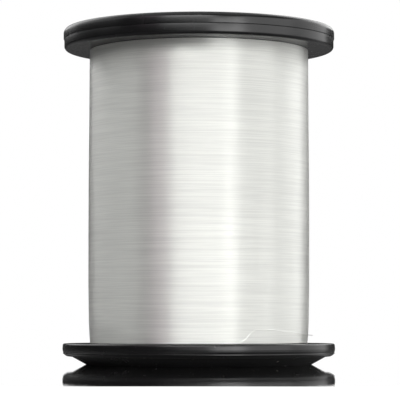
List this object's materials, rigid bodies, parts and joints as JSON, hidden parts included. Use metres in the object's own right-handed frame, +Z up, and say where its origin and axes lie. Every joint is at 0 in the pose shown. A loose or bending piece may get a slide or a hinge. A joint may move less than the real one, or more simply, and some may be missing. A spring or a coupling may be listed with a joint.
{
  "type": "fishing line spool",
  "caption": "Full bulk spool of clear monofilament on a black flanged spool, with nesting end covers and a through bore for a spindle.",
  "frame": {"origin": "centre of the foot ring, on the surface the spool stands on", "axes": "+Z up along the spindle axis; +X passes through the hole in the barrel where the line starts"},
  "size_m": [0.076, 0.076, 0.094],
  "materials": {
    "black_plastic": "black moulded plastic, satin gloss, lightly scuffed",
    "core_plastic": "dark moulded plastic, plain",
    "line": "clear nylon monofilament, silky when wound",
    "label_paper": "blank uncoated label stock"
  },
  "bodies": {
    "root": {"upper_flange": "black_plastic", "upper_cover": "black_plastic", "lower_flange": "black_plastic", "lower_cover": "black_plastic", "barrel": "core_plastic", "spindle_sleeve": "core_plastic", "line_start_knot": "line", "line_pack": "line", "line_outer_layer": "line", "line_tail": "line", "upper_label": "label_paper", "lower_label": "label_paper"}
  },
  "joints": []
}
